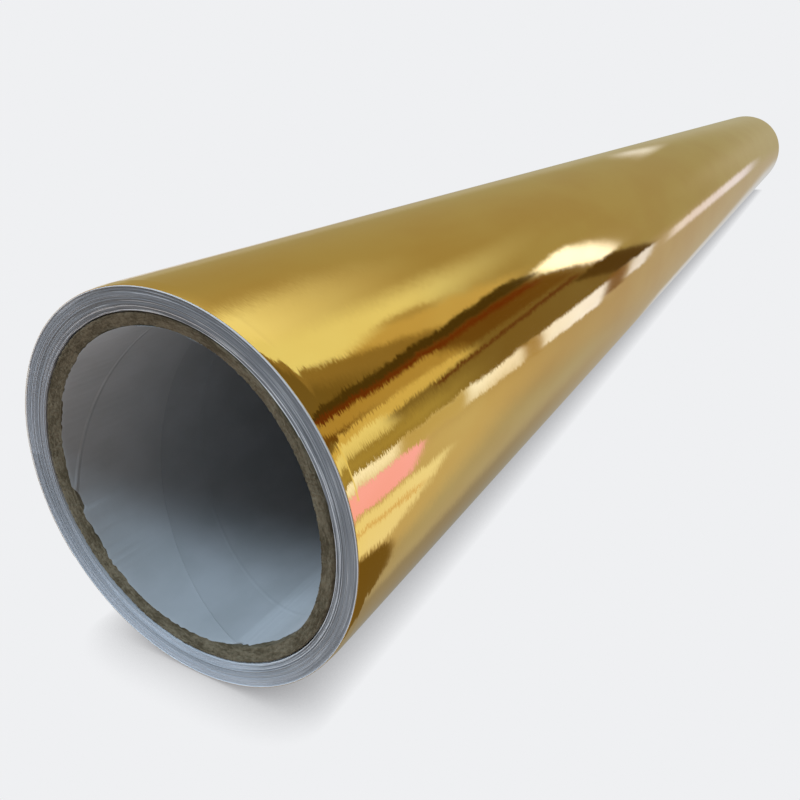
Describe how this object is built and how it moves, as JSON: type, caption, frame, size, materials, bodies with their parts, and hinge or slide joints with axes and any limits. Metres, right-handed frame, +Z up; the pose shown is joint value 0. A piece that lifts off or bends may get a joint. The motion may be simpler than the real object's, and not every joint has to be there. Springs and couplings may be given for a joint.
{
  "type": "roll of sign vinyl",
  "caption": "Tightly wound roll of gold mirror sign film, face out on its white release liner, on a paper core with an open bore; the web's free end lifts.",
  "frame": {"origin": "centre of the roll's underside, on the surface that it lies on, halfway along it", "axes": "+Y along the roll's axis, away from the near end; +Z up; +X to the right, seen from the near end"},
  "size_m": [0.0957, 1.067, 0.0953],
  "materials": {
    "gold_film": "gloss",
    "release_liner": "satin",
    "layered_web": "satin",
    "white_paper": "matte",
    "chipboard": "matte",
    "tape": "matte"
  },
  "bodies": {
    "roll": {"core_liner_ply": "white_paper", "core_board_ply_1": "chipboard", "core_board_ply_2": "chipboard", "core_board_ply_3": "chipboard", "core_board_ply_4": "chipboard", "start_tape_near": "tape", "start_tape_middle": "tape", "start_tape_far": "tape", "inner_wraps": "layered_web", "outer_wrap_liner": "release_liner", "outer_wrap_film": "gold_film"},
    "loose_end": {"tail_liner": "release_liner", "tail_film": "gold_film", "closing_tape": "tape"}
  },
  "joints": [
    {"name": "loose_end_lift", "type": "hinge", "parent": "roll", "child": "loose_end", "pos_m": [-0.04166, 0, 0.07143], "axis": [0, 1, 0], "range_deg": [0, 35], "stiffness_Nm_per_rad": 0.02}
  ]
}
